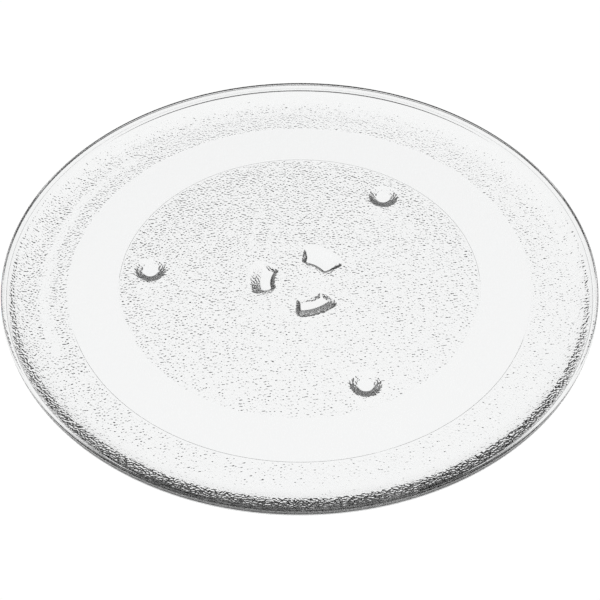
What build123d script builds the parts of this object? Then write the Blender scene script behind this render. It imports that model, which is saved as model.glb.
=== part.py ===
from build123d import *

import os
from math import degrees, radians, tan

# Pressed glass turntable plate for a microwave oven, in millimetres.
# The origin is on the plate's axis, at the level of the foot tips, with +Z up.

# Disc
plate_diameter = 245.0
glass_thickness = 4.5

# Rim: the floor sweeps up in a cove to a flat lip, which rounds over at its outer edge
rim_width = 13.8
rim_rise = 3.0
lip_width = 5.7
lip_round_width = 0.9
lip_round_height = 0.5

# Outer edge: a leaning band, a short wall and a flare that runs in to a narrow moulding ledge
edge_height = 4.1
band_height = 1.4
band_lean = 0.3
wall_lean = 0.08
flare_width = 1.05
flare_rise = 0.7
ledge_width = 0.7
ledge_drop = 0.2
ledge_step_width = 0.12

# Underside: a smooth roller track stands slightly proud between two textured zones
bend_radius = 15.0
bend_slope = 30.0
outer_zone_width = 14.3
track_width = 21.0
track_proud = 0.15
track_step_width = 0.12

# Feet: three low round knobs in the inner zone
foot_count = 3
foot_inset = 12.2
foot_height = 3.6
foot_tip_diameter = 5.4
foot_slope_width = 3.7
foot_tip_round = 3.6

# Drive lugs: three tapered ring segments that sit between the arms of the drive coupler
lug_count = 3
lug_height = 3.3
lug_inner_radius = 10.6
lug_inner_slope = 1.6
lug_tip_width = 3.6
lug_outer_slope = 5.0
lug_span = 59.0
lug_end_slope = 1.6
lug_outer_corner = 3.0
lug_inner_corner = 1.0
lug_tip_corner = 0.8
lug_tip_round = 0.4

# Lugs and feet lie on the same three radial lines, the first along +Y
first_angle = 90.0

# Levels
underside = foot_height
track_level = underside - track_proud
floor_top = underside + glass_thickness
lip_top = floor_top + rim_rise
band_top = lip_top - lip_round_height
band_bottom = band_top - band_height
ledge_level = lip_top - edge_height
ledge_step_top = ledge_level + ledge_drop
wall_bottom = ledge_level + flare_rise

# Radii of the plate's section
plate_radius = plate_diameter / 2
lip_radius = plate_radius - lip_width
floor_radius = plate_radius - rim_width
band_foot_radius = plate_radius - band_lean
wall_foot_radius = band_foot_radius - wall_lean
flare_radius = wall_foot_radius - flare_width
ledge_radius = flare_radius - ledge_width
bend_end = ledge_radius - ledge_step_width
bend_slope_width = (ledge_step_top - underside) / tan(radians(bend_slope))
bend_start = bend_end - bend_slope_width - bend_radius * tan(radians(bend_slope) / 2)
track_outer = bend_start - outer_zone_width
track_inner = track_outer - track_width
foot_circle_radius = track_inner - foot_inset

# Radii and span of a lug at its root and at its tip
lug_tip_inner = lug_inner_radius + lug_inner_slope
lug_tip_outer = lug_tip_inner + lug_tip_width
lug_outer_radius = lug_tip_outer + lug_outer_slope
lug_tip_span = lug_span - 2 * degrees(lug_end_slope / (lug_tip_inner + lug_tip_width / 2))

# One drive lug on +X, tapered from a wide root on the underside to a narrow tip
with BuildPart() as drive_lug:
    for level, inner, outer, span, inner_corner, outer_corner in (
        (underside, lug_inner_radius, lug_outer_radius, lug_span, lug_inner_corner, lug_outer_corner),
        (underside - lug_height, lug_tip_inner, lug_tip_outer, lug_tip_span, lug_tip_corner, lug_tip_corner),
    ):
        with BuildSketch(Plane.XY.offset(level)) as section:
            with BuildLine():
                inner_arc = CenterArc((0, 0), inner, -span / 2, span)
                outer_arc = CenterArc((0, 0), outer, -span / 2, span)
                Line(inner_arc @ 0, outer_arc @ 0)
                Line(inner_arc @ 1, outer_arc @ 1)
            make_face()
            corners = section.vertices().sort_by_distance((0, 0))
            fillet(corners[:2], inner_corner)
            fillet(corners[2:], outer_corner)
    loft(ruled=True)
    fillet(drive_lug.edges().group_by(Axis.Z)[0], lug_tip_round)

# One foot: half of its section, turned about its own axis
foot_tip_radius = foot_tip_diameter / 2
foot_base_radius = foot_tip_radius + foot_slope_width
with BuildPart() as foot:
    with BuildSketch(Plane.XZ):
        with BuildLine():
            FilletPolyline((0, 0), (foot_tip_radius, 0), (foot_base_radius, underside), radius=foot_tip_round)
            Polyline((foot_base_radius, underside), (0, underside), (0, 0))
        make_face()
    revolve(axis=Axis.Z)

# The plate: one revolved section, with the lugs and feet moulded on below it
with BuildPart() as turntable_plate:
    with BuildSketch(Plane.XZ):
        with BuildLine():
            Polyline(
                (0, floor_top),
                (0, underside),
                (track_inner, underside),
                (track_inner + track_step_width, track_level),
                (track_outer - track_step_width, track_level),
                (track_outer, underside),
                (bend_start, underside),
            )
            bend = JernArc((bend_start, underside), tangent=(1, 0), radius=bend_radius, arc_size=bend_slope)
            Polyline(
                bend @ 1,
                (bend_end, ledge_step_top),
                (ledge_radius, ledge_level),
                (flare_radius, ledge_level),
                (wall_foot_radius, wall_bottom),
                (band_foot_radius, band_bottom),
                (plate_radius, band_top),
            )
            lip_end = (plate_radius - lip_round_width, lip_top)
            TangentArc(lip_end, (plate_radius, band_top), tangent=(1, 0))
            Line(lip_end, (lip_radius, lip_top))
            cove = TangentArc((floor_radius, floor_top), (lip_radius, lip_top), tangent=(1, 0))
            Line(cove @ 0, (0, floor_top))
        make_face()
    revolve(axis=Axis.Z)
    with PolarLocations(0, lug_count, start_angle=first_angle):
        add(drive_lug.part)
    with PolarLocations(foot_circle_radius, foot_count, start_angle=first_angle):
        add(foot.part)

os.makedirs("parts", exist_ok=True)
turntable_plate.part.label = "turntable_plate"
export_step(turntable_plate.part, "parts/turntable_plate.step")
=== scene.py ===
"""A clear pressed-glass turntable plate on a pale floor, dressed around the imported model.

Sizes are in millimetres and become metres when a mesh is made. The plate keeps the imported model's frame:
its axis is Z, and the tips of its feet are at Z = 0.
"""

import math

import bpy
import numpy as np
from mathutils import Matrix, Vector
from mathutils.geometry import delaunay_2d_cdt


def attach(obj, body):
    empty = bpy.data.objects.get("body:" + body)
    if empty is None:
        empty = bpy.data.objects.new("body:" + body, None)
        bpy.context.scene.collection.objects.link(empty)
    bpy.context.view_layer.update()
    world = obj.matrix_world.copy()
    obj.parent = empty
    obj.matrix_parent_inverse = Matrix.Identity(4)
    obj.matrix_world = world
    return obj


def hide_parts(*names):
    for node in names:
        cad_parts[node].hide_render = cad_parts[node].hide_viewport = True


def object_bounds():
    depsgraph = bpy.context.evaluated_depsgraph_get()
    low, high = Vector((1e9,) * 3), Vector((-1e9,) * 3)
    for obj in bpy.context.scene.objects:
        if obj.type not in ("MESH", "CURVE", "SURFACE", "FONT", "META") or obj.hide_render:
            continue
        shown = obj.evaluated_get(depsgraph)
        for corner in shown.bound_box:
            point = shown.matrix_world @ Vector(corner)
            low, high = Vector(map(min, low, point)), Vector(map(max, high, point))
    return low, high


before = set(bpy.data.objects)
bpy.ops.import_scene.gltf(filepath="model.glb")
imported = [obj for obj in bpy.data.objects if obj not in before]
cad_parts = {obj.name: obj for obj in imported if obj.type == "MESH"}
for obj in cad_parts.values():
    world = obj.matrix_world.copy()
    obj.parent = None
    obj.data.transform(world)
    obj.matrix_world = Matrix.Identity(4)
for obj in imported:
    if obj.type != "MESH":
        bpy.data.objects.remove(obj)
cad_low, cad_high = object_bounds()

MM = 0.001
NODE = "turntable_plate"
SEED = 7

# Overall size, from the frame
PLATE_RADIUS = cad_high.x / MM
LIP_TOP = cad_high.z / MM

# Section of the rim
RIM_WIDTH = 13.8
RIM_RISE = 3.0
LIP_WIDTH = 5.7
LIP_ROUND_WIDTH = 0.9
LIP_ROUND_HEIGHT = 0.5
EDGE_HEIGHT = 4.1
BAND_HEIGHT = 1.4
BAND_LEAN = 0.3
WALL_LEAN = 0.08
FLARE_WIDTH = 1.05
FLARE_RISE = 0.7
LEDGE_WIDTH = 0.7
LEDGE_DROP = 0.2
LEDGE_STEP_WIDTH = 0.12

# Rounds that pressing leaves on the rim's corners
LIP_INNER_ROUND = 0.15
WIDEST_ROUND = 0.15
BAND_ROUND = 0.5
EDGE_FOOT_ROUND = 0.5
FLARE_ROUND = 0.15
LEDGE_ROUND = 0.06
STEP_ROUND = 0.06

# Underside
GLASS_THICKNESS = 4.5
BEND_RADIUS = 15.0
BEND_SLOPE = math.radians(30.0)
OUTER_ZONE_WIDTH = 14.3
TRACK_WIDTH = 21.0
TRACK_PROUD = 0.15
TRACK_STEP_WIDTH = 0.12

# Feet and lugs lie on the same radial lines
FEATURE_COUNT = 3
FIRST_ANGLE = math.radians(90.0)
FOOT_INSET = 12.2
FOOT_TIP_RADIUS = 2.7
FOOT_SLOPE_WIDTH = 3.7
FOOT_TIP_ROUND = 3.6
FOOT_ROOT_ROUND = 1.0

# Drive lugs: each pair is the size at the root and at the tip
LUG_HEIGHT = 3.3
LUG_INNER = (10.6, 12.2)
LUG_OUTER = (20.8, 15.8)
LUG_SPAN = (math.radians(59.0), math.radians(45.9))
LUG_OUTER_CORNER = (3.0, 0.8)
LUG_INNER_CORNER = (1.0, 0.8)
LUG_TIP_ROUND_SHARE = 0.12
LUG_ROOT_ROUND = 0.6
LUG_REACH = 24.0
LUG_SMOOTH_FROM = 0.9

# Grain pressed into the underside, and the arc of it that is shallower, kept for marking
GRAIN_HEIGHT = 0.13
GRAIN_SPARSENESS = 2.0
GRAIN_ON_FEET = 1.2
GRAIN_ON_LUGS = 0.5
GRAIN_FADE = 0.4
GRAIN_END = 119.4
GRAIN_END_FADE = 0.8
GRAIN_UNEVEN = 0.18
GRAIN_DEEPEST = math.radians(200.0)
MARKING_BAND = (102.4, 107.6)
MARKING_ARC = (math.radians(170.0), math.radians(239.0))
MARKING_FADE = 1.6
MARKING_GRAIN = 0.6

# Mesh
SEGMENTS = 512
TRACK_SEGMENTS = 128
GRAIN_SPACING = 0.79
GRAIN_JITTER = 0.24
TRACK_SPACING = 3.0
TRACK_MARGIN = 1.0
FEWEST_RING_POINTS = 6
STEP_SUPPORT = 0.1
FEATURE_SPACING = 0.36
ARC_STEPS = 10
ROUND_STEPS = 3
SEARCH_STEPS = 30
MERGE_DISTANCE = 1e-7
SAME_PLACE = 1e-4
LUG_RING_SHARES = (-0.38, -0.25, -0.12, 0.0, 0.12, 0.25, 0.38, 0.55, 0.72, 0.86, 0.93, 1.0, 1.07, 1.14)
LUG_SHARE_RANGE = (-0.6, 1.4)

# Levels and radii that follow
FLOOR_TOP = LIP_TOP - RIM_RISE
UNDERSIDE = FLOOR_TOP - GLASS_THICKNESS
TRACK_LEVEL = UNDERSIDE - TRACK_PROUD
BAND_TOP = LIP_TOP - LIP_ROUND_HEIGHT
BAND_BOTTOM = BAND_TOP - BAND_HEIGHT
LEDGE_LEVEL = LIP_TOP - EDGE_HEIGHT
WALL_BOTTOM = LEDGE_LEVEL + FLARE_RISE
STEP_LEVEL = LEDGE_LEVEL + LEDGE_DROP
LIP_RADIUS = PLATE_RADIUS - LIP_WIDTH
FLOOR_RADIUS = PLATE_RADIUS - RIM_WIDTH
BAND_FOOT = PLATE_RADIUS - BAND_LEAN
EDGE_FOOT = BAND_FOOT - WALL_LEAN
FLARE_START = EDGE_FOOT - FLARE_WIDTH
LEDGE_RADIUS = FLARE_START - LEDGE_WIDTH
BEND_END = LEDGE_RADIUS - LEDGE_STEP_WIDTH
ARC_WIDTH = BEND_RADIUS * math.sin(BEND_SLOPE)
ARC_RISE = BEND_RADIUS * (1 - math.cos(BEND_SLOPE))
ARC_END = BEND_END - (STEP_LEVEL - UNDERSIDE - ARC_RISE) / math.tan(BEND_SLOPE)
BEND_START = ARC_END - ARC_WIDTH
TRACK_OUTER = BEND_START - OUTER_ZONE_WIDTH
TRACK_INNER = TRACK_OUTER - TRACK_WIDTH
FOOT_CIRCLE = TRACK_INNER - FOOT_INSET
FOOT_CONE = math.atan2(UNDERSIDE, FOOT_SLOPE_WIDTH)
FOOT_REACH = FOOT_TIP_RADIUS + FOOT_SLOPE_WIDTH + FOOT_ROOT_ROUND * math.tan(FOOT_CONE / 2)
STEP_RINGS = (TRACK_INNER, TRACK_INNER + TRACK_STEP_WIDTH, TRACK_OUTER - TRACK_STEP_WIDTH, TRACK_OUTER)


# Sections are lists of (radius, height, heading), where heading is the direction of travel in radians
def straight(start, end):
    heading = math.atan2(end[1] - start[1], end[0] - start[0])
    return [(*start, heading), (*end, heading)]


def tangent_arc(start, end, steps=ARC_STEPS):
    """An arc that leaves start level, heading outwards, and passes through end."""
    across, up = end[0] - start[0], end[1] - start[1]
    radius = (across**2 + up**2) / (2 * up)
    turn = 2 * math.atan2(up, across)
    angles = [turn * i / steps for i in range(steps + 1)]
    return [(start[0] + radius * math.sin(a), start[1] + radius * (1 - math.cos(a)), a) for a in angles]


def backwards(run):
    return [(r, z, heading + math.pi) for r, z, heading in reversed(run)]


def rounded(runs, rounds):
    """Joins runs end to end, with a round of the given radius at each joint."""
    section = list(runs[0])
    for run, radius in zip(runs[1:], rounds):
        r, z, before = section.pop()
        turn = (run[0][2] - before + math.pi) % (2 * math.pi) - math.pi
        trim = radius * math.tan(abs(turn) / 2)
        side = math.copysign(radius, turn)
        r, z = r - trim * math.cos(before), z - trim * math.sin(before)
        centre = (r - side * math.sin(before), z + side * math.cos(before))
        steps = ROUND_STEPS if radius else 1
        for i in range(steps + 1 if radius else 1):
            heading = before + turn * i / steps
            height = centre[1] - side * math.cos(heading)
            section.append((centre[0] + side * math.sin(heading), height, heading))
        section.extend(run[1:])
    return section


def bend_section():
    arc = tangent_arc((BEND_START, UNDERSIDE), (ARC_END, UNDERSIDE + ARC_RISE), 2 * ARC_STEPS)
    return arc + [(BEND_END, STEP_LEVEL, BEND_SLOPE)]


def rim_section():
    """From the end of the bend, out round the edge and over the lip, and down the cove to the dish floor."""
    lip_end = (PLATE_RADIUS - LIP_ROUND_WIDTH, LIP_TOP)
    runs = [
        [bend_section()[-1]],
        straight((BEND_END, STEP_LEVEL), (LEDGE_RADIUS, LEDGE_LEVEL)),
        straight((LEDGE_RADIUS, LEDGE_LEVEL), (FLARE_START, LEDGE_LEVEL)),
        straight((FLARE_START, LEDGE_LEVEL), (EDGE_FOOT, WALL_BOTTOM)),
        straight((EDGE_FOOT, WALL_BOTTOM), (BAND_FOOT, BAND_BOTTOM)),
        straight((BAND_FOOT, BAND_BOTTOM), (PLATE_RADIUS, BAND_TOP)),
        backwards(tangent_arc(lip_end, (PLATE_RADIUS, BAND_TOP))),
        straight(lip_end, (LIP_RADIUS, LIP_TOP)),
        backwards(tangent_arc((FLOOR_RADIUS, FLOOR_TOP), (LIP_RADIUS, LIP_TOP))),
    ]
    rounds = [STEP_ROUND, LEDGE_ROUND, FLARE_ROUND, EDGE_FOOT_ROUND]
    rounds += [BAND_ROUND, WIDEST_ROUND, 0.0, LIP_INNER_ROUND]
    return rounded(runs, rounds)


def foot_height(distance):
    """Height of a foot's surface at a distance from its axis: a rounded tip, a cone and a rounded root."""
    flat = FOOT_TIP_RADIUS - FOOT_TIP_ROUND * math.tan(FOOT_CONE / 2)
    tip_end = flat + FOOT_TIP_ROUND * math.sin(FOOT_CONE)
    root_start = FOOT_REACH - FOOT_ROOT_ROUND * math.sin(FOOT_CONE)
    cone = (distance - FOOT_TIP_RADIUS) * math.tan(FOOT_CONE)
    off_flat = np.clip(distance - flat, 0.0, FOOT_TIP_ROUND)
    tip = FOOT_TIP_ROUND - np.sqrt(FOOT_TIP_ROUND**2 - off_flat**2)
    to_end = np.clip(FOOT_REACH - distance, 0.0, FOOT_ROOT_ROUND)
    root = UNDERSIDE - FOOT_ROOT_ROUND + np.sqrt(FOOT_ROOT_ROUND**2 - to_end**2)
    return np.where(distance < tip_end, tip, np.where(distance < root_start, cone, root))


def inside_lug(radius, angle, share):
    """How far a point lies inside a lug's section at a share of the lug's height; negative outside it."""
    def at(pair):
        return pair[0] + (pair[1] - pair[0]) * share

    from_end = radius * np.sin(at(LUG_SPAN) / 2 - np.abs(angle))
    depth = from_end
    for wall, corner in (
        (radius - at(LUG_INNER), at(LUG_INNER_CORNER)),
        (at(LUG_OUTER) - radius, at(LUG_OUTER_CORNER)),
    ):
        past_wall, past_end = corner - wall, corner - from_end
        round_corner = corner - np.hypot(past_wall, past_end)
        in_corner = (past_wall > 0) & (past_end > 0)
        depth = np.minimum(depth, np.where(in_corner, round_corner, wall))
    return depth


def lug_share(radius, angle):
    """The share of a lug's height at which its wall passes over a point."""
    low = np.full(radius.shape, LUG_SHARE_RANGE[0])
    high = np.full(radius.shape, LUG_SHARE_RANGE[1])
    for _ in range(SEARCH_STEPS):
        middle = (low + high) / 2
        inside = inside_lug(radius, angle, middle) > 0
        low = np.where(inside, middle, low)
        high = np.where(inside, high, middle)
    return low


def soft_minimum(a, b, width):
    return np.minimum(a, b) - np.clip(width - np.abs(a - b), 0.0, None) ** 2 / (4 * width)


def to_feature(x, y):
    """Radius and angle of points about the plate's axis, the angle measured from the nearest feature line."""
    pitch = 2 * math.pi / FEATURE_COUNT
    angle = (np.arctan2(y, x) - FIRST_ANGLE + pitch / 2) % pitch - pitch / 2
    return np.hypot(x, y), angle


def foot_distance(radius, angle):
    return np.hypot(radius * np.cos(angle) - FOOT_CIRCLE, radius * np.sin(angle))


def underside_height(x, y):
    """Height of the smooth underside, and how deep the grain is on its lugs and feet."""
    radius, angle = to_feature(x, y)
    bend = bend_section()
    flats = [(0.0, UNDERSIDE)]
    flats += zip(STEP_RINGS, (UNDERSIDE, TRACK_LEVEL, TRACK_LEVEL, UNDERSIDE))
    profile = np.array(flats + [(r, z) for r, z, _ in bend])
    height = np.interp(radius, profile[:, 0], profile[:, 1])

    distance = foot_distance(radius, angle)
    on_foot = distance < FOOT_REACH
    height[on_foot] = foot_height(distance[on_foot])

    near = radius < LUG_REACH
    share = lug_share(radius[near], angle[near])
    slope_width = inside_lug(radius[near], angle[near], 0.0) - inside_lug(radius[near], angle[near], 1.0)
    share = soft_minimum(share, 1.0, LUG_TIP_ROUND_SHARE)
    share = -soft_minimum(-share, 0.0, LUG_ROOT_ROUND / slope_width)
    height[near] -= LUG_HEIGHT * share
    grain = np.where(on_foot, GRAIN_ON_FEET, 1.0)
    grain[near] = np.where(share > 0, GRAIN_ON_LUGS, 1.0)
    return height, grain


def ramp(value, fade):
    return np.clip(value / fade, 0.0, 1.0)


def grain_share(x, y):
    """How deep the grain is: none on the track, less on the marking arc, and uneven elsewhere."""
    radius = np.hypot(x, y)
    zones = np.maximum(ramp(TRACK_INNER - radius, GRAIN_FADE), ramp(radius - TRACK_OUTER, GRAIN_FADE))
    zones = np.minimum(zones, ramp(GRAIN_END - radius, GRAIN_END_FADE))
    zones *= 1.0 + GRAIN_UNEVEN * (x * math.cos(GRAIN_DEEPEST) + y * math.sin(GRAIN_DEEPEST)) / PLATE_RADIUS
    turn = np.arctan2(y, x) % (2 * math.pi)
    in_band = np.minimum(radius - MARKING_BAND[0], MARKING_BAND[1] - radius)
    in_arc = radius * np.minimum(turn - MARKING_ARC[0], MARKING_ARC[1] - turn)
    return zones * (1.0 - (1.0 - MARKING_GRAIN) * ramp(np.minimum(in_band, in_arc), MARKING_FADE))


# Plan of the underside's mesh: closed rings along its features, and a jittered lattice between them
def ring(radius, count, centre=(0.0, 0.0)):
    turn = 2 * math.pi * np.arange(count) / count
    return np.stack([centre[0] + radius * np.cos(turn), centre[1] + radius * np.sin(turn)], 1)


def lug_ring(share):
    """The outline of the lug on +X at a share of its height, evenly spaced."""
    core = (LUG_INNER[1] + LUG_OUTER[1]) / 2
    turn = np.linspace(0.0, 2 * math.pi, SEGMENTS)
    low, high = np.zeros(SEGMENTS), np.full(SEGMENTS, LUG_OUTER[0])
    for _ in range(SEARCH_STEPS):
        middle = (low + high) / 2
        x, y = core + middle * np.cos(turn), middle * np.sin(turn)
        inside = inside_lug(np.hypot(x, y), np.arctan2(y, x), share) > 0
        low, high = np.where(inside, middle, low), np.where(inside, high, middle)
    x, y = core + low * np.cos(turn), low * np.sin(turn)
    along = np.concatenate([[0.0], np.cumsum(np.hypot(np.diff(x), np.diff(y)))])
    count = round(along[-1] / FEATURE_SPACING)
    stops = along[-1] * np.arange(count) / count
    return np.stack([np.interp(stops, along, x), np.interp(stops, along, y)], 1)


def turned(points, angle):
    c, s = math.cos(angle), math.sin(angle)
    return points @ np.array([[c, s], [-s, c]])


def feature_rings():
    """Rings round every lug and foot."""
    rings = [lug_ring(share) for share in LUG_RING_SHARES]
    for radius in np.arange(FOOT_REACH, FEATURE_SPACING, -FEATURE_SPACING):
        count = max(FEWEST_RING_POINTS, round(2 * math.pi * radius / FEATURE_SPACING))
        rings.append(ring(radius, count, (FOOT_CIRCLE, 0.0)))
    angles = [FIRST_ANGLE + 2 * math.pi * i / FEATURE_COUNT for i in range(FEATURE_COUNT)]
    return [turned(r, a) for a in angles for r in rings]


def lattice(rng, join_radius):
    """Jittered points in the grained zones, clear of the rings and of the smooth track."""
    row = GRAIN_SPACING * math.sqrt(3) / 2
    rows = np.arange(-join_radius, join_radius, row)
    columns = np.arange(-join_radius, join_radius, GRAIN_SPACING)
    x, y = np.meshgrid(columns, rows)
    x[1::2] += GRAIN_SPACING / 2
    points = np.stack([x.ravel(), y.ravel()], 1)
    points += rng.uniform(-GRAIN_JITTER, GRAIN_JITTER, points.shape) * GRAIN_SPACING
    radius, angle = to_feature(points[:, 0], points[:, 1])
    gap = GRAIN_SPACING / 2
    keep = (radius < TRACK_INNER - gap) | ((radius > TRACK_OUTER + gap) & (radius < join_radius - gap))
    keep &= foot_distance(radius, angle) > FOOT_REACH + gap
    keep &= inside_lug(radius, angle, LUG_RING_SHARES[0]) < -gap
    return points[keep]


def underside_plan(rng, join_radius):
    """Points of the underside, and the edges that its triangles have to keep."""
    rings = [ring(r, SEGMENTS) for r in (*STEP_RINGS, join_radius)]
    rings += [ring(r + side * STEP_SUPPORT, SEGMENTS) for r, side in zip(STEP_RINGS, (-1, 1, -1, 1))]
    track_radii = np.arange(TRACK_INNER + TRACK_SPACING, TRACK_OUTER - TRACK_MARGIN, TRACK_SPACING)
    rings += [ring(r, TRACK_SEGMENTS) for r in track_radii]
    rings += feature_rings()
    points, edges, start = [], [], 0
    for loop in rings:
        points.append(loop)
        count = len(loop)
        edges += [(start + i, start + (i + 1) % count) for i in range(count)]
        start += count
    points.append(lattice(rng, join_radius))
    return np.concatenate(points), edges


def plate_mesh():
    """The plate as one closed mesh, with the normals of its rim worked out from the section."""
    rng = np.random.default_rng(SEED)
    section = rim_section()
    join_radius = section[0][0]
    plan, kept_edges = underside_plan(rng, join_radius)
    found = delaunay_2d_cdt([Vector(p) for p in plan], kept_edges, [], 0, MERGE_DISTANCE, False)
    flat = np.array([(p.x, p.y) for p in found[0]])
    triangles = [(a, c, b) for a, b, c in found[2]]
    x, y = flat[:, 0], flat[:, 1]
    height, depth = underside_height(x, y)
    share = grain_share(x, y) * depth
    share[height < UNDERSIDE - LUG_HEIGHT * LUG_SMOOTH_FROM] = 0.0
    height = height - GRAIN_HEIGHT * share * rng.random(len(height)) ** GRAIN_SPARSENESS

    radius = np.hypot(x, y)
    joint = np.flatnonzero(np.abs(radius - join_radius) < SAME_PLACE)
    joint = joint[np.argsort(np.arctan2(y[joint], x[joint]))]
    turn = np.arctan2(y[joint], x[joint])
    count = len(joint)
    vertices = [np.stack([x, y, height], 1)]
    normals = [np.zeros((len(x), 3))]
    rows = [joint]
    start = len(x)
    for k, (r, z, heading) in enumerate(section):
        level = np.full(count, -math.cos(heading))
        normal = np.stack([math.sin(heading) * np.cos(turn), math.sin(heading) * np.sin(turn), level], 1)
        if k == 0:
            normals[0][joint] = normal
            continue
        vertices.append(np.stack([r * np.cos(turn), r * np.sin(turn), np.full(count, z)], 1))
        normals.append(normal)
        rows.append(start + np.arange(count))
        start += count
    vertices.append(np.array([[0.0, 0.0, FLOOR_TOP]]))
    normals.append(np.array([[0.0, 0.0, 1.0]]))
    faces = list(triangles)
    for low, high in zip(rows, rows[1:]):
        for i in range(count):
            j = (i + 1) % count
            faces.append((low[i], low[j], high[j], high[i]))
    faces += [(rows[-1][i], rows[-1][(i + 1) % count], start) for i in range(count)]

    mesh = bpy.data.meshes.new("plate_glass")
    mesh.from_pydata((np.concatenate(vertices) * MM).tolist(), [], faces)
    grain = mesh.attributes.new("grain", "FLOAT", "POINT")
    values = np.zeros(len(mesh.vertices), np.float32)
    values[: len(share)] = share
    grain.data.foreach_set("value", values)
    for polygon in mesh.polygons:
        polygon.use_smooth = True
    mesh.normals_split_custom_set_from_vertices(np.concatenate(normals).tolist())
    return mesh


# Materials
GLASS_IOR = 1.5
GLASS_TINT = (0.965, 0.97, 0.97, 1.0)
GRAIN_BUMP_HEIGHT = 0.385
GRAIN_BUMP_SCALE = 1100.0


def new_material(name):
    material = bpy.data.materials.new(name)
    material.use_nodes = True
    return material, material.node_tree.nodes, material.node_tree.links


def glass_material():
    material, nodes, links = new_material("clear_glass")
    shader = nodes["Principled BSDF"]
    shader.inputs["Base Color"].default_value = GLASS_TINT
    shader.inputs["Transmission Weight"].default_value = 1.0
    shader.inputs["Roughness"].default_value = 0.0
    shader.inputs["IOR"].default_value = GLASS_IOR
    place = nodes.new("ShaderNodeTexCoord")
    wrinkles = nodes.new("ShaderNodeTexNoise")
    wrinkles.inputs["Scale"].default_value = GRAIN_BUMP_SCALE
    wrinkles.inputs["Detail"].default_value = 0.0
    links.new(place.outputs["Object"], wrinkles.inputs["Vector"])
    grain = nodes.new("ShaderNodeAttribute")
    grain.attribute_name = "grain"
    bump = nodes.new("ShaderNodeBump")
    bump.inputs["Distance"].default_value = GRAIN_BUMP_HEIGHT * MM
    links.new(grain.outputs["Fac"], bump.inputs["Strength"])
    links.new(wrinkles.outputs["Fac"], bump.inputs["Height"])
    links.new(bump.outputs["Normal"], shader.inputs["Normal"])
    return material


# Stage
FLOOR_SIZE = 12.0
FLOOR_GAP = 0.1
FLOOR_LIGHT = 1.02
ZENITH_LIGHT = 0.18
HORIZON_LIGHT = 0.12
ZENITH_START = 0.6
LIGHT_BOUNCES = 6


def link(data, name):
    piece = bpy.data.objects.new(name, data)
    bpy.context.scene.collection.objects.link(piece)
    return piece


def make_floor():
    """A pale floor that glows evenly, just under the feet."""
    half = FLOOR_SIZE / 2
    corners = [(x * half, y * half, -FLOOR_GAP * MM) for x, y in ((-1, -1), (1, -1), (1, 1), (-1, 1))]
    mesh = bpy.data.meshes.new("floor")
    mesh.from_pydata(corners, [], [(0, 1, 2, 3)])
    material, nodes, _ = new_material("pale_floor")
    shader = nodes["Principled BSDF"]
    shader.inputs["Base Color"].default_value = (0.0, 0.0, 0.0, 1.0)
    shader.inputs["Specular IOR Level"].default_value = 0.0
    shader.inputs["Emission Color"].default_value = (1.0, 1.0, 1.0, 1.0)
    shader.inputs["Emission Strength"].default_value = FLOOR_LIGHT
    mesh.materials.append(material)
    link(mesh, "floor")


def make_light():
    """A soft studio surround, brighter overhead than at the horizon."""
    world = bpy.data.worlds.new("studio")
    world.use_nodes = True
    bpy.context.scene.world = world
    nodes, links = world.node_tree.nodes, world.node_tree.links
    place = nodes.new("ShaderNodeTexCoord")
    split = nodes.new("ShaderNodeSeparateXYZ")
    level = nodes.new("ShaderNodeMapRange")
    level.interpolation_type = "SMOOTHSTEP"
    level.inputs["From Max"].default_value = ZENITH_START
    level.inputs["To Min"].default_value = HORIZON_LIGHT
    level.inputs["To Max"].default_value = ZENITH_LIGHT
    links.new(place.outputs["Generated"], split.inputs[0])
    links.new(split.outputs["Z"], level.inputs["Value"])
    background = nodes["Background"]
    background.inputs["Color"].default_value = (1.0, 1.0, 1.0, 1.0)
    links.new(level.outputs[0], background.inputs["Strength"])
    bpy.context.scene.view_settings.view_transform = "Standard"
    bpy.context.scene.cycles.glossy_bounces = LIGHT_BOUNCES


# Camera
IMAGE_SIZE = 600
PLATE_CENTRE_PIXEL = (299.6, 280.0)
PLATE_RADIUS_PIXELS = 295.5
PIXELS_PER_MM = PLATE_RADIUS_PIXELS / PLATE_RADIUS
VIEW_DISTANCE = 710.5
VIEW_ELEVATION = math.radians(45.6)
VIEW_AZIMUTH = math.radians(35.5)
VIEW_LEVEL = 5.715
SENSOR_WIDTH = 36.0


def make_camera():
    """Looks down on the plate, aimed so that the plate's middle falls on its pixel."""
    focal_pixels = PIXELS_PER_MM * VIEW_DISTANCE
    flat = math.cos(VIEW_ELEVATION)
    away = Vector((math.sin(VIEW_AZIMUTH) * flat, -math.cos(VIEW_AZIMUTH) * flat, math.sin(VIEW_ELEVATION)))
    right = Vector((math.cos(VIEW_AZIMUTH), math.sin(VIEW_AZIMUTH), 0.0))
    up = away.cross(right)
    tilt = math.atan((IMAGE_SIZE / 2 - PLATE_CENTRE_PIXEL[1]) / focal_pixels)
    pan = math.atan((PLATE_CENTRE_PIXEL[0] - IMAGE_SIZE / 2) / focal_pixels)
    tilted = Matrix.Rotation(-tilt, 3, right)
    away_tilted, up = tilted @ away, tilted @ up
    panned = Matrix.Rotation(pan, 3, up)
    right, back = panned @ right, panned @ away_tilted
    place = away * VIEW_DISTANCE * MM + Vector((0.0, 0.0, VIEW_LEVEL * MM))
    data = bpy.data.cameras.new("camera")
    data.sensor_width = SENSOR_WIDTH
    data.lens = SENSOR_WIDTH * focal_pixels / IMAGE_SIZE
    camera = link(data, "camera")
    camera.matrix_world = Matrix.Translation(place) @ Matrix((right, up, back)).transposed().to_4x4()
    bpy.context.scene.camera = camera


def make_plate():
    plate = link(plate_mesh(), "plate_glass")
    plate.data.materials.append(glass_material())
    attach(plate, "root")
    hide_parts(NODE)


make_plate()
make_floor()
make_light()
make_camera()
